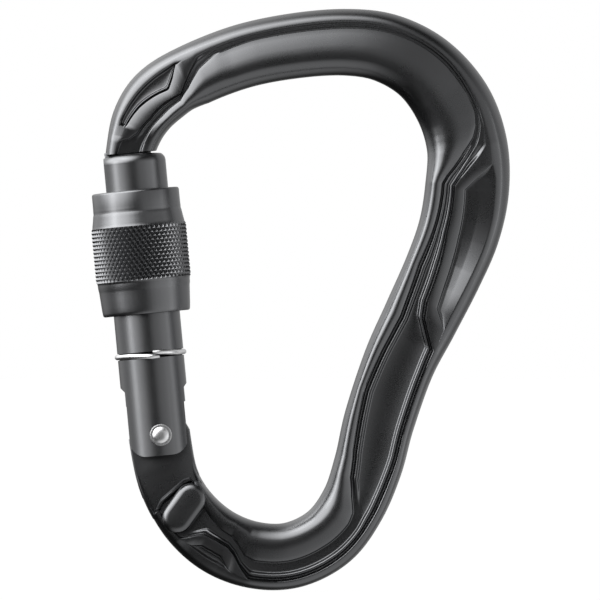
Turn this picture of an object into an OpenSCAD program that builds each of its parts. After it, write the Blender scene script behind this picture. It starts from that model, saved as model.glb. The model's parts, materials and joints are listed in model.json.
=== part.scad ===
// Pear-shaped locking carabiner with a screw gate and a keylock nose.
// The frame lies in the XZ plane: its front faces -Y and its basket is at the top (+Z).
// The origin is the inside of the basket, where a rope or an anchor bears.
// The gate is drawn in its own frame: origin on the hinge axis, +Z up the gate, +X inwards.

/* [Frame] */
// Overall height of the frame
body_height = 110.2; // [92:0.2:133]
// Overall width of the frame
body_width = 79.4; // [66:0.2:96]
// Width of the frame's bar at the middle of the basket
bar_width = 12.7; // [11.5:0.1:14]
// Thickness of the frame's bar, front to back
bar_thickness = 10.8; // [9.5:0.1:13]
// Depth of the web's pocket on each face of the spine
web_depth = 1.6; // [0.5:0.1:2.2]
// Height of the raised pad beside the hinge, above the bar's face
pad_height = 0.5; // [0.2:0.1:1]

/* [Gate] */
// Diameter of the gate's tube
gate_diameter = 12.6; // [11:0.1:15.2]
// Distance of the gate's tube axis from the hinge axis, outwards
gate_offset = 0.6; // [0.3:0.1:0.8]
// Width of the fork's slot, front to back
fork_slot = 6.4; // [5.2:0.1:7.2]
// Depth of the flat on the outer side of the fork
outer_flat = 0.8; // [0.4:0.1:1.2]
// Depth of the flat on the inner side of the fork
inner_flat = 0.6; // [0.4:0.1:1.2]
// How far the fork reaches below the hinge axis
fork_drop = 3.9; // [3.6:0.1:4.6]
// Radius of the fork's two lower corners
fork_corner = 3.2; // [1.5:0.1:3.5]
// Radius of the rounding on the gate's top edge
head_round = 1.6; // [0.8:0.1:2]

/* [Keylock] */
// Thickness of the key at the end of the nose
key_width = 5.8; // [4.8:0.1:6.4]
// Thickness of the key's neck
neck_width = 3.6; // [2.6:0.1:4]
// Height of the key along the gate
key_height = 2.6; // [2:0.1:3.2]
// Height of the gate's lip that holds the key
lip_height = 1.9; // [1.4:0.1:2.4]
// Depth of the slot in the gate's head, from the top
head_slot = 8; // [7:0.5:9]

/* [Hinge] */
// Diameter of the hinge rivet
rivet_diameter = 3.2; // [2.6:0.1:3.8]
// Diameter of the rivet's formed heads
rivet_head = 4.2; // [4:0.1:5]
// Radius of the tongue's cam where the plunger rests
cam_radius = 4; // [3.6:0.1:4.4]
// Rise of the cam over the gate's whole swing
cam_rise = 0.8; // [0.5:0.1:1]
// How far the gate swings open, in degrees
gate_swing = 27; // [20:1:28]

/* [Spring] */
// Diameter of the bore in the gate that holds the spring
spring_bore = 5.6; // [4.8:0.1:6]
// Length of the plunger's guided head
plunger_head = 4; // [3:0.5:6]
// Diameter of the plunger's pin
plunger_pin = 3.4; // [2.6:0.1:3.8]
// Diameter of the spring's wire
spring_wire = 0.7; // [0.5:0.1:0.9]
// Number of turns in the spring
spring_turns = 9; // [6:1:11]
// Length of the spring with the gate shut
spring_length = 15; // [13:0.5:18]

/* [Sleeve] */
// Length of the locking sleeve
sleeve_length = 23.5; // [19:0.5:25]
// Diameter of the sleeve's two ends
sleeve_end = 16.6; // [15.6:0.1:19.4]
// Diameter over the knurl
knurl_diameter = 18.1; // [16.6:0.1:21]
// Length of the knurled band
knurl_length = 10.3; // [8:0.1:12]
// Length of the plain collar above the knurl
collar_length = 6.7; // [5.5:0.1:8]
// Length of gate that shows above the sleeve
head_showing = 6.9; // [6:0.1:8]

/* [Stop ring] */
// Height of the stop ring above the hinge axis
ring_height = 15.3; // [14:0.1:16]
// Diameter of the ring's wire
ring_wire = 1.1; // [0.8:0.1:1.3]
// Gap between the ring's two ends, in degrees
ring_gap = 6; // [4:1:12]

/* [Clearances] */
// Gap between the nose and the gate, on every side of the key
key_gap = 0.3; // [0.2:0.05:0.4]
// Gap between the tongue and each cheek of the fork
fork_gap = 0.25; // [0.15:0.05:0.3]
// Radial clearance of the rivet in the tongue
rivet_gap = 0.03; // [0.02:0.01:0.08]
// Radial clearance of the plunger in its bore
plunger_gap = 0.05; // [0.03:0.01:0.1]
// Radial clearance of the sleeve on the gate's tube
sleeve_gap = 0.08; // [0.05:0.01:0.1]
// Radial clearance of the stop ring in its groove
ring_gap_radial = 0.08; // [0.05:0.01:0.1]

/* [Hidden] */
$fn = 96;
eps = 0.01;
reach = 40;

// The bar's centreline, clockwise from the nose to the hinge, in round numbers:
// x, z, width over bar_width, thickness over bar_thickness, share of the web's depth.
bar_knots = [
    [-37.4, -18.5, 0.76, 0.62, 0],
    [-37.2, -14.3, 0.77, 0.64, 0],
    [-35.3, -8.5, 0.89, 0.84, 0],
    [-31.7, -3.9, 0.97, 0.97, 0],
    [-25.6, 0, 0.95, 1, 0],
    [-16, 3.7, 0.96, 1, 0],
    [-5.8, 5.7, 0.98, 1, 0],
    [3.7, 6.3, 1, 1, 0],
    [11.4, 5.1, 1.04, 1, 0],
    [18.5, 1.1, 1.09, 1, 0],
    [23.8, -5.6, 1.17, 1, 0.1],
    [26.4, -13.4, 1.21, 1, 0.6],
    [26.4, -21.5, 1.26, 0.98, 1],
    [24.9, -29.4, 1.23, 0.97, 1],
    [21.9, -37.1, 1.18, 0.97, 1],
    [17.6, -46.1, 1.13, 0.97, 1],
    [13.5, -54.6, 1.08, 0.97, 1],
    [9.8, -65.4, 1.06, 0.97, 1],
    [7.7, -73.8, 1.03, 0.98, 1],
    [4.8, -81.4, 0.98, 1, 0.7],
    [0.2, -87.6, 0.98, 1, 0.5],
    [-6.7, -91.1, 0.99, 1, 0.4],
    [-14.1, -91.1, 1, 0.98, 0.2],
    [-21, -88.4, 0.99, 0.95, 0],
    [-26.6, -83.3, 0.95, 0.9, 0],
    [-30.3, -76.6, 0.91, 0.88, 0],
    [-32.1, -67.5, 0.92, 0.88, 0]
];
// Size of the centreline as listed, and of the bar that surrounds it
listed_height = 97.5;
listed_width = 63.8;
listed_bar = 12.7;
// Half-widths of the bar at its left and right ends, together, over bar_width
side_bars = 1.22;
// Where the bar's full thickness ends, as a place in the list, and its number of rings
bar_end = 24.5;
bar_rings = 74;

// The bar's cross-section from its outer edge to its inner edge, as shares of the
// half-width and the half-thickness; the third number is 1 where the web is sunk.
section_points = [
    [1, 0, 0], [0.97, 0.42, 0], [0.88, 0.78, 0], [0.72, 0.98, 0], [0.6, 1, 0],
    [0.5, 1, 1], [0.05, 1, 1], [-0.1, 1, 0], [-0.45, 0.97, 0], [-0.72, 0.8, 0],
    [-0.92, 0.48, 0], [-1, 0, 0]
];

scale_x = (body_width - bar_width * side_bars) / listed_width;
scale_z = (body_height - bar_width) / listed_height;

// A point of the listed layout, moved to where the overall sizes put it
function place(x, z) = [x * scale_x, (z - listed_bar / 2) * scale_z + bar_width / 2];

hinge_point = place(-31.6, -68.2);
nose_point = place(-37.2, -15);

gate_r = gate_diameter / 2;
gate_reach = sqrt(pow(norm(nose_point - hinge_point), 2) - pow(gate_offset, 2));
gate_tilt = atan2(hinge_point[0] - nose_point[0], nose_point[1] - hinge_point[1])
            - atan2(gate_offset, gate_reach);
tongue_width = fork_slot - 2 * fork_gap;
outer_side = -gate_offset - gate_r + outer_flat;
inner_side = -gate_offset + gate_r - inner_flat;
flat_top = 8.6;
flat_run = 2;
fork_sweep = norm([-outer_side - fork_corner, fork_drop - fork_corner]) + fork_corner;

key_top = gate_reach - lip_height - key_gap;
key_bottom = key_top - key_height;
key_r = gate_r - key_gap;
key_inner = gate_r - 2.6 - gate_offset;
key_outer = -gate_offset - gate_r + 1.1;

// The cam rises at a steady rate between these angles, from straight up towards the spine
cam_start = -16;
cam_end = 34;
cam_slope = cam_rise / gate_swing;
tip_rest = cam_radius - cam_slope * cam_start;
crotch = cam_radius + cam_slope * (cam_end - cam_start) + 0.4;
head_start = crotch + 1.6;
spring_start = head_start + plunger_head;
bore_end = spring_start + spring_length;
bore_r = spring_bore / 2;
plunger_r = bore_r - plunger_gap;
spring_mean = bore_r - spring_wire / 2 - 0.2;

sleeve_top = gate_reach - head_showing;
sleeve_bottom = sleeve_top - sleeve_length;
sleeve_bore = gate_r + sleeve_gap;
end_r = sleeve_end / 2;
knurl_r = knurl_diameter / 2;
rim_round = 0.35;

ring_r = gate_r;
head_seat = gate_r - 0.75;
dome_top = gate_r + 0.25;

// Catmull-Rom curve through four rows of numbers
function curve(a, b, c, d, t) =
    0.5 * (2 * b + (c - a) * t + (2 * a - 5 * b + 4 * c - d) * t * t
           + (3 * b - a - 3 * c + d) * t * t * t);

function knot(i) = bar_knots[max(0, min(len(bar_knots) - 1, i))];

function row_at(s) =
    let (i = floor(s)) curve(knot(i - 1), knot(i), knot(i + 1), knot(i + 2), s - i);

function centre_at(s) = let (row = row_at(s)) place(row[0], row[1]);

function outward_at(s) =
    let (step = 0.05, along = centre_at(s + step) - centre_at(s - step))
    [-along[1], along[0]] / norm(along);

function half_width_at(s) = row_at(s)[2] * bar_width / 2;

function edge_at(s, side) = centre_at(s) + side * half_width_at(s) * outward_at(s);

// One ring of the bar: front half from outside to inside, then back half
function ring_at(s) =
    let (row = row_at(s), c = centre_at(s), n = outward_at(s), last = len(section_points) - 1)
    let (half_w = half_width_at(s), half_t = row[3] * bar_thickness / 2, sunk = row[4] * web_depth)
    [
        for (k = [0 : 2 * last - 1])
            let (p = section_points[k <= last ? k : 2 * last - k], face = k <= last ? -1 : 1)
            let (u = p[0] * half_w, y = face * (p[1] * half_t - p[2] * sunk))
            [c[0] + n[0] * u, y, c[1] + n[1] * u]
    ];

module in_gate_frame() {
    translate([hinge_point[0], 0, hinge_point[1]])
        rotate([0, -gate_tilt, 0])
            children();
}

// Cylinder along the hinge axis, centred front to back
module cross_cylinder(r, length) {
    rotate([90, 0, 0])
        cylinder(r = r, h = length, center = true);
}

// The frame's bar, from the nose to the lip below the hinge
module bar() {
    sides = 2 * len(section_points) - 2;
    points = [for (i = [0 : bar_rings - 1]) each ring_at(bar_end * i / (bar_rings - 1))];
    walls = [
        for (i = [0 : bar_rings - 2])
            for (k = [0 : sides - 1])
                let (a = i * sides + k, b = i * sides + (k + 1) % sides)
                each [[a, b + sides, b], [a, a + sides, b + sides]]
    ];
    first_cap = [for (k = [0 : sides - 1]) k];
    last_cap = [for (k = [sides - 1 : -1 : 0]) (bar_rings - 1) * sides + k];
    polyhedron(points = points, faces = concat(walls, [first_cap, last_cap]));
}

// A point of the gate's side view, from a point of the frame's side view
function to_gate(p) =
    let (d = p - hinge_point)
    [d[0] * cos(gate_tilt) + d[1] * sin(gate_tilt), d[1] * cos(gate_tilt) - d[0] * sin(gate_tilt)];

function cam_point(angle) =
    let (r = cam_radius + cam_slope * max(0, min(cam_end - cam_start, angle - cam_start)))
    [r * sin(angle), r * cos(angle)];

// The tongue that the gate's fork straddles, with the cam on its end
module tongue() {
    outline = concat(
        [for (s = [23.6 : 0.4 : 25.6]) to_gate(edge_at(s, 1))],
        [to_gate(edge_at(26, 1)), to_gate(edge_at(26, 1)) + [0.5, 1.6]],
        [for (angle = [-48 : 4 : 44]) cam_point(angle)],
        [to_gate(edge_at(26, -1)) + [-0.7, 1.4], to_gate(edge_at(26, -1))],
        [for (s = [25.6 : -0.4 : 23.6]) to_gate(edge_at(s, -1))]
    );
    in_gate_frame()
        rotate([90, 0, 0])
            linear_extrude(height = tongue_width, center = true)
                polygon(outline);
}

// A ring about the hinge axis, from one radius to another
module hinge_ring(inner, outer, width) {
    rotate([90, 0, 0])
        rotate_extrude()
            translate([inner, -width / 2])
                square([outer - inner, width]);
}

// The nose's key and neck; both are rings about the hinge, so the gate swings clear
module nose_key() {
    in_gate_frame()
        intersection() {
            union() {
                hinge_ring(key_bottom, key_top, key_width);
                hinge_ring(key_bottom, gate_reach + 2, neck_width);
            }
            translate([-gate_offset, 0, gate_reach - head_slot])
                cylinder(r = key_r, h = head_slot + 4);
            translate([key_outer, -reach / 2, 0])
                cube([key_inner - key_outer, reach, gate_reach + reach]);
        }
}

// Rounded pad across the bar beside the hinge, on both faces
module hinge_pad() {
    pad_length = 6.4;
    pad_radius = 2.6;
    pad_turn = 51;
    pad_face = 0.9 * bar_thickness / 2 + pad_height;
    pad_centre = centre_at(24.05);
    translate([pad_centre[0], 0, pad_centre[1]])
        rotate([90, -pad_turn, 0])
            linear_extrude(height = 2 * pad_face, center = true)
                union() {
                    square([pad_length, 2 * pad_radius], center = true);
                    for (side = [-1, 1])
                        translate([side * pad_length / 2, 0])
                            circle(r = pad_radius);
                }
}

module frame_body() {
    color("#333436")
        difference() {
            union() {
                difference() {
                    union() {
                        bar();
                        hinge_pad();
                    }
                    // room for the gate's head above its slot
                    in_gate_frame()
                        intersection() {
                            cross_cylinder(gate_reach + key_gap, reach);
                            translate([-reach / 2, -reach / 2, gate_reach - 12])
                                cube([reach, reach, 20]);
                        }
                    // room for the fork's cheeks
                    in_gate_frame()
                        cross_cylinder(fork_sweep + key_gap, reach);
                }
                tongue();
                nose_key();
            }
            // bore for the rivet
            in_gate_frame()
                cross_cylinder(rivet_diameter / 2 + rivet_gap, reach);
        }
}

// Side view of the gate: full width along its middle, narrower at the fork, and flat
// on the outer side of its head, level with the mouth of the key's slot
module gate_side_view() {
    full_out = -gate_offset - gate_r - 1;
    full_in = -gate_offset + gate_r + 1;
    head_out = -gate_offset - sqrt(pow(gate_r, 2) - pow(key_width / 2 + key_gap, 2));
    union() {
        translate([outer_side, -fork_drop + fork_corner])
            square([inner_side - outer_side, flat_top + fork_drop - fork_corner]);
        translate([outer_side + fork_corner, -fork_drop])
            square([inner_side - outer_side - 2 * fork_corner, fork_corner + eps]);
        for (x = [outer_side + fork_corner, inner_side - fork_corner])
            translate([x, -fork_drop + fork_corner])
                circle(r = fork_corner);
        polygon([
            [outer_side, flat_top - eps], [inner_side, flat_top - eps],
            [full_in, flat_top + flat_run], [full_in, gate_reach + 2],
            [head_out, gate_reach + 2], [head_out, gate_reach - head_slot],
            [full_out, gate_reach - head_slot], [full_out, flat_top + flat_run]
        ]);
    }
}

// The gate's body of revolution, with the groove for the stop ring
module gate_tube() {
    translate([-gate_offset, 0, 0])
        difference() {
            translate([0, 0, -fork_drop - 1])
                rotate_extrude()
                    union() {
                        square([gate_r, gate_reach + fork_drop + 1 - head_round]);
                        square([gate_r - head_round, gate_reach + fork_drop + 1]);
                        translate([gate_r - head_round, gate_reach + fork_drop + 1 - head_round])
                            circle(r = head_round);
                    }
            translate([0, 0, ring_height])
                rotate_extrude()
                    translate([ring_r, 0])
                        circle(r = ring_wire / 2 + ring_gap_radial);
        }
}

module gate_arm() {
    slot_width = key_width + 2 * key_gap;
    color("#3a3b3e")
        in_gate_frame()
            difference() {
                intersection() {
                    gate_tube();
                    rotate([90, 0, 0])
                        linear_extrude(height = reach, center = true)
                            gate_side_view();
                    cross_cylinder(gate_reach, reach);
                }
                // slot for the key, open outwards, and the narrower slot for its neck
                intersection() {
                    union() {
                        hinge_ring(gate_reach - head_slot, gate_reach - lip_height, slot_width);
                        hinge_ring(gate_reach - head_slot, gate_reach + 1, neck_width + 2 * key_gap);
                    }
                    translate([key_inner + key_gap - reach, -reach / 2, 0])
                        cube([reach, reach, gate_reach + reach]);
                }
                // fork
                translate([-reach / 2, -fork_slot / 2, -reach + crotch])
                    cube([reach, fork_slot, reach]);
                // bore for the spring and the plunger
                translate([-gate_offset, 0, 0])
                    cylinder(r = bore_r, h = bore_end);
                // rivet's hole and the seats of its heads
                cross_cylinder(rivet_diameter / 2, reach);
                for (side = [-1, 1])
                    translate([0, side * (head_seat + reach / 2), 0])
                        cross_cylinder(rivet_head / 2, reach);
            }
}

module hinge_rivet() {
    color("#d5d7da")
        in_gate_frame()
            rotate([90, 0, 0])
                union() {
                    cylinder(r = rivet_diameter / 2, h = 2 * head_seat + 2 * eps, center = true);
                    for (turn = [0, 180])
                        rotate([turn, 0, 0])
                            translate([0, 0, head_seat])
                                rivet_dome();
                }
}

// One formed head of the rivet: a short rim under a shallow dome
module rivet_dome() {
    rise = dome_top - head_seat;
    dome_rise = 0.45;
    dome_r = (pow(rivet_head / 2, 2) + pow(dome_rise, 2)) / (2 * dome_rise);
    intersection() {
        cylinder(r = rivet_head / 2, h = rise);
        translate([0, 0, rise - dome_r])
            sphere(r = dome_r);
    }
}

module return_spring() {
    steps = 16;
    sides = 6;
    total = spring_turns * steps;
    wire_r = spring_wire / 2;
    rise = spring_length - spring_wire - 2 * eps;
    points = [
        for (i = [0 : total])
            let (turn = i * 360 / steps, z = spring_start + wire_r + eps + rise * i / total)
            for (k = [0 : sides - 1])
                let (a = k * 360 / sides, r = spring_mean + wire_r * cos(a))
                [r * cos(turn), r * sin(turn), z + wire_r * sin(a)]
    ];
    walls = [
        for (i = [0 : total - 1])
            for (k = [0 : sides - 1])
                let (a = i * sides + k, b = i * sides + (k + 1) % sides)
                each [[a, b + sides, b], [a, a + sides, b + sides]]
    ];
    first_cap = [for (k = [0 : sides - 1]) k];
    last_cap = [for (k = [sides - 1 : -1 : 0]) total * sides + k];
    color("#b9bcc0")
        in_gate_frame()
            translate([-gate_offset, 0, 0])
                polyhedron(points = points, faces = concat(walls, [first_cap, last_cap]));
}

module spring_plunger() {
    pin_r = plunger_pin / 2;
    color("#8d8f93")
        in_gate_frame()
            translate([-gate_offset, 0, 0])
                union() {
                    translate([0, 0, head_start])
                        cylinder(r = plunger_r, h = plunger_head);
                    translate([0, 0, tip_rest + pin_r])
                        cylinder(r = pin_r, h = head_start - tip_rest - pin_r + eps);
                    translate([0, 0, tip_rest + pin_r])
                        sphere(r = pin_r);
                }
}

// Half of the sleeve's cross-section, from its lower end
module sleeve_profile() {
    knurl_bottom = sleeve_length - collar_length - knurl_length;
    polygon([
        [sleeve_bore, 0], [end_r - rim_round, 0], [end_r, rim_round],
        [end_r + 0.25, knurl_bottom - 1.1], [end_r - 0.05, knurl_bottom - 0.8],
        [end_r - 0.05, knurl_bottom - 0.3], [knurl_r - rim_round, knurl_bottom],
        [knurl_r, knurl_bottom + rim_round], [knurl_r, knurl_bottom + knurl_length - rim_round],
        [knurl_r - rim_round, knurl_bottom + knurl_length],
        [end_r + 0.1, knurl_bottom + knurl_length + 1.4], [end_r + 0.1, sleeve_length - 4.2],
        [end_r - 0.2, sleeve_length - 3.8], [end_r, sleeve_length - 3.4],
        [end_r, sleeve_length - rim_round], [end_r - rim_round, sleeve_length],
        [sleeve_bore, sleeve_length]
    ]);
}

module screw_sleeve() {
    color("#37383b")
        in_gate_frame()
            translate([-gate_offset, 0, sleeve_bottom])
                rotate_extrude()
                    sleeve_profile();
}

module stop_ring() {
    gap_centre = -80;
    color("#e3e5e7")
        in_gate_frame()
            translate([-gate_offset, 0, ring_height])
                rotate([0, 0, gap_centre + ring_gap / 2])
                    rotate_extrude(angle = 360 - ring_gap)
                        translate([ring_r, 0])
                            circle(r = ring_wire / 2);
}

frame_body();
gate_arm();
hinge_rivet();
return_spring();
spring_plunger();
screw_sleeve();
stop_ring();
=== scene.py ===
# %% [markdown]
# # A screw-gate carabiner
# A carabiner is a metal link that a climber opens and closes with one hand. A forged aluminium
# bar makes the frame, a turned tube makes the gate, and a knurled sleeve runs along the gate
# and locks it. The measured frame comes first: it says where the hinge and the gate are and
# how each piece moves. The sizes of the pieces are then given, in millimetres, to match it.

# %% Load the measured frame
import bisect
import json
import math

import bmesh
import bpy
from mathutils import Matrix, Vector


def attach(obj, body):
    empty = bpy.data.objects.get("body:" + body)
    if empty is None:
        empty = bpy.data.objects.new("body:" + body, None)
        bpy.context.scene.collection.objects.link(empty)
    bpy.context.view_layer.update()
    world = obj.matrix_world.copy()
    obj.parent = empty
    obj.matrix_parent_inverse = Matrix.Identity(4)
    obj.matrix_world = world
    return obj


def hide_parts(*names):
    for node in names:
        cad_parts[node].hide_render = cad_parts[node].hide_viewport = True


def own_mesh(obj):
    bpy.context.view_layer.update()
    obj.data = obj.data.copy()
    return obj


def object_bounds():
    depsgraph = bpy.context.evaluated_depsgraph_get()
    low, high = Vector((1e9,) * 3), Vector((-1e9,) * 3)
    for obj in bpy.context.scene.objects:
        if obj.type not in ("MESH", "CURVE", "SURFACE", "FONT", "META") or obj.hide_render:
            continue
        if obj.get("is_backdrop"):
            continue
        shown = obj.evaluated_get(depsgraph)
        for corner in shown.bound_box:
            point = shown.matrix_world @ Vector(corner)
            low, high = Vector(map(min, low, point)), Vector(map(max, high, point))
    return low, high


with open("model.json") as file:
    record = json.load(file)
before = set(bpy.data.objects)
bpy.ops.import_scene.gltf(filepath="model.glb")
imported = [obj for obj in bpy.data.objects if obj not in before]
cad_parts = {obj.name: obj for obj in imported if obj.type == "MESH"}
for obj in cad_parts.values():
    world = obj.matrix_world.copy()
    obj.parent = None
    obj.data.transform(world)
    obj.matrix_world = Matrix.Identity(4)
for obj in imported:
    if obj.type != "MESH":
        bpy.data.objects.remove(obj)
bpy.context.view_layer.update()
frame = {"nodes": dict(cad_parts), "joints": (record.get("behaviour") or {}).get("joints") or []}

# %% [markdown]
# ## The tools of the lesson
# Blender's own bmesh operators make the shapes.

# %% [markdown]
# ## Millimetres and the gate's own axes
# A carabiner is drawn in millimetres, while Blender and the frame work in metres. The pieces
# are modelled in millimetres and shrunk once, at the end, which keeps the numbers readable.
# The gate leans, so it gets axes of its own: the origin on the hinge, Z up its middle line.

# %% Places taken from the frame
MM = 0.001
joints = {joint["name"]: joint for joint in frame["joints"]}
hinge = Vector(joints["gate_swing"]["pos_m"]) / MM
gate_axis = Vector(joints["sleeve_turn"]["axis"]).normalized()
gate_foot = Vector(joints["sleeve_turn"]["pos_m"]) / MM
gate_tilt = math.atan2(-gate_axis.x, gate_axis.z)

lean = Matrix.Rotation(-gate_tilt, 4, "Y")
to_hinge = Matrix.Translation(hinge) @ lean
to_gate = Matrix.Translation(gate_foot) @ lean
print("hinge at", hinge, "mm, gate leans", round(math.degrees(gate_tilt), 2), "degrees")

# %% [markdown]
# ## Shader maths as Python
# Metal needs grain, turning marks and slow changes of sheen. Each is a short sum of noise, so
# a small class lets a node's output be used in a Python expression. Every + or * adds a Math
# node, and one method makes any other node.


# %% A socket that does sums
class Value:
    """The output of a node, which Python's + and * turn into Math nodes."""

    def __init__(self, tree, socket):
        self.tree, self.socket = tree, socket

    def maths(self, operation, first, second):
        node = self.tree.nodes.new("ShaderNodeMath")
        node.operation = operation
        for slot, term in zip(node.inputs, (first, second)):
            if isinstance(term, Value):
                self.tree.links.new(term.socket, slot)
            else:
                slot.default_value = term
        return Value(self.tree, node.outputs[0])

    def __add__(self, other):
        return self.maths("ADD", self, other)

    def __mul__(self, other):
        return self.maths("MULTIPLY", self, other)

    __radd__, __rmul__ = __add__, __mul__


class Finish:
    """A material under construction, with its Principled shader already in place."""

    def __init__(self, name, **constants):
        self.slot = name
        self.material = bpy.data.materials.new(name)
        self.material.use_nodes = True
        self.tree = self.material.node_tree
        self.shader = self.tree.nodes["Principled BSDF"]
        for socket, number in constants.items():
            self.shader.inputs[socket.replace("_", " ")].default_value = number
        self.place = self.node("ShaderNodeTexCoord", output="Object")

    def node(self, kind, settings=None, output=0, **sockets):
        made = self.tree.nodes.new(kind)
        for name, value in (settings or {}).items():
            setattr(made, name, value)
        for name, value in sockets.items():
            slot = made.inputs[int(name[1:]) if name[1:].isdigit() else name.replace("_", " ")]
            if isinstance(value, Value):
                self.tree.links.new(value.socket, slot)
            else:
                slot.default_value = value
        return Value(self.tree, made.outputs[output])

    def noise(self, size, detail=2.0, where=None):
        """Cloudy noise whose blotches are about size millimetres across."""
        return self.node("ShaderNodeTexNoise", output="Fac", Vector=where or self.place,
                         Scale=1 / (size * MM), Detail=detail)

    def blend(self, share, first, second):
        """A colour between two colours."""
        return self.node("ShaderNodeMix", {"data_type": "RGBA"}, output=2,
                         _0=share, _6=first + (1,), _7=second + (1,))

    def paint(self, socket, value):
        self.tree.links.new(value.socket, self.shader.inputs[socket])

    def relief(self, height, depth):
        """Bump from a height in 0 to 1 that stands for depth millimetres."""
        bump = self.node("ShaderNodeBump", Height=height, Distance=depth * MM, Strength=1.0)
        self.paint("Normal", bump)


print("shader helpers ready")

# %% [markdown]
# ## Black anodised aluminium
# The frame is forged, tumbled until it is satin, then anodised black. Anodising keeps the
# metal's fine pitted grain, so the black is a soft dark mirror and never a paint. A metallic
# shader with a dark colour gives that, with grain a few tenths of a millimetre across in the
# bump and a slower cloud in the roughness, as a tumbled skin has.


# %% The frame's finish
def anodised(name, tone, rough, grain):
    """Satin black metal: tone is how light it is, grain the depth of its pitting in mm."""
    finish = Finish(name, Metallic=1.0, IOR=1.5)
    pits = finish.noise(0.16, 3.0)
    cloud = finish.noise(7.0, 2.0)
    speck = finish.noise(0.5, 2.0)
    dark = tuple(tone * part for part in (0.97, 0.99, 1.03))
    light = tuple(tone * part for part in (1.16, 1.17, 1.2))
    finish.paint("Base Color", finish.blend(cloud * 0.6 + pits * 0.4, dark, light))
    finish.paint("Roughness", rough - 0.04 + cloud * 0.04 + speck * 0.04)
    finish.relief(pits, grain)
    return finish


frame_finish = anodised("anodised_frame", tone=0.118, rough=0.28, grain=0.004)
print("made", frame_finish.material.name)

# %% [markdown]
# ## Turned and anodised parts
# The gate and the sleeve are turned on a lathe before they are anodised, and the tool leaves
# rings so fine that they only stretch the highlight. The rings run round the gate's axis, so
# their pattern is noise read along that axis alone.


# %% The gate's and the sleeve's finish
def turned(name, tone, rough, grain, rings):
    """Satin black metal with faint rings round the gate's axis, rings mm deep."""
    finish = anodised(name, tone, rough, grain)
    along = finish.node("ShaderNodeVectorMath", {"operation": "DOT_PRODUCT"}, output="Value",
                        _0=finish.place, _1=gate_axis)
    marks = finish.node("ShaderNodeTexNoise", {"noise_dimensions": "1D"}, output="Fac",
                        W=along, Scale=1 / (0.12 * MM), Detail=2.0)
    pits = finish.noise(0.16, 3.0)
    finish.relief(marks * rings + pits * grain, 1.0)
    return finish


gate_finish = turned("anodised_gate", tone=0.13, rough=0.29, grain=0.004, rings=0.004)
sleeve_finish = turned("anodised_sleeve", tone=0.135, rough=0.31, grain=0.004, rings=0.004)
print("made", gate_finish.material.name, "and", sleeve_finish.material.name)

# %% [markdown]
# ## Bright steel and spring steel
# The rivet and the stop ring are stainless steel left bright. Steel that has been headed or
# drawn has small scratches in every direction, which show as a slightly uneven shine.


# %% The steel finishes
def steel(name, tone, rough):
    """Bright steel with fine scratches in its shine."""
    finish = Finish(name, Metallic=1.0)
    scratches = finish.noise(0.25, 4.0)
    cloud = finish.noise(1.6, 2.0)
    dark = tuple(tone * part for part in (0.94, 0.95, 0.97))
    finish.paint("Base Color", finish.blend(cloud, dark, (tone, tone, tone)))
    finish.paint("Roughness", rough - 0.06 + scratches * 0.12)
    finish.relief(scratches, 0.006)
    return finish


bright_finish = steel("bright_steel", tone=0.8, rough=0.29)
spring_finish = steel("spring_steel", tone=0.55, rough=0.32)
print("made", bright_finish.material.name, "and", spring_finish.material.name)

# %% [markdown]
# ## From a bmesh to a finished piece
# Every piece ends the same way: doubles merged, normals turned outwards, smooth shading with
# crisp edges where two faces meet steeply, millimetres turned to metres, and a ride on the
# body that carries it.


# %% The last step of every piece
def finish_piece(bm, name, body, finish, nodes, crisp=38):
    """Makes an object from bm, in millimetres, which rides on body and stands for CAD nodes."""
    bmesh.ops.remove_doubles(bm, verts=bm.verts, dist=0.002)
    bmesh.ops.recalc_face_normals(bm, faces=bm.faces)
    for face in bm.faces:
        face.smooth = True
    for edge in bm.edges:
        edge.smooth = edge.calc_face_angle(0.0) < math.radians(crisp)
    bmesh.ops.scale(bm, vec=(MM, MM, MM), verts=bm.verts)
    mesh = bpy.data.meshes.new(name)
    bm.to_mesh(mesh)
    bm.free()
    mesh.materials.append(finish.material)
    piece = bpy.data.objects.new(name, mesh)
    bpy.context.scene.collection.objects.link(piece)
    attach(piece, body)
    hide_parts(*nodes)
    print(f"{name}: {len(mesh.polygons)} faces on {body}")
    return piece


# %% [markdown]
# ## The bar's path
# The frame is one bar bent into an asymmetric pear, wide at the top where ropes and slings
# sit. A short list of places, joined by a Catmull-Rom curve, says where its middle
# runs and how wide it is. The curve is then measured, so that any point can be asked for by
# its distance along the bar, as a smith would mark it.

# %% The middle line: x, z and half-width, from the nose to the hinge
MIDDLE_LINE = [
    (-37.4, -18.5, 4.83), (-37.2, -14.3, 4.89), (-35.3, -8.5, 5.65), (-31.7, -3.9, 6.16),
    (-25.6, 0, 6.03), (-16, 3.7, 6.1), (-5.8, 5.7, 6.22), (3.7, 6.3, 6.35), (11.4, 5.1, 6.6),
    (18.5, 1.1, 6.92), (23.8, -5.6, 7.43), (26.4, -13.4, 7.68), (26.4, -21.5, 8),
    (24.9, -29.4, 7.81), (21.9, -37.1, 7.49), (17.6, -46.1, 7.18), (13.5, -54.6, 6.86),
    (9.8, -65.4, 6.73), (7.7, -73.8, 6.54), (4.8, -81.4, 6.22), (0.2, -87.6, 6.22),
    (-6.7, -91.1, 6.29), (-14.1, -91.1, 6.35), (-21, -88.4, 6.29), (-26.6, -83.3, 6.03),
    (-30.3, -76.6, 5.78), (-32.1, -67.5, 5.84),
]


def through(rows, step):
    """The point at a fractional step of a Catmull-Rom curve through the rows."""
    last = len(rows) - 1
    start = min(int(step), last - 1)
    t = step - start
    near = [rows[max(0, min(last, start + k))] for k in (-1, 0, 1, 2)]
    return [0.5 * (2 * b + (c - a) * t + (2 * a - 5 * b + 4 * c - d) * t * t
                   + (3 * b - a - 3 * c + d) * t ** 3) for a, b, c, d in zip(*near)]


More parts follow.
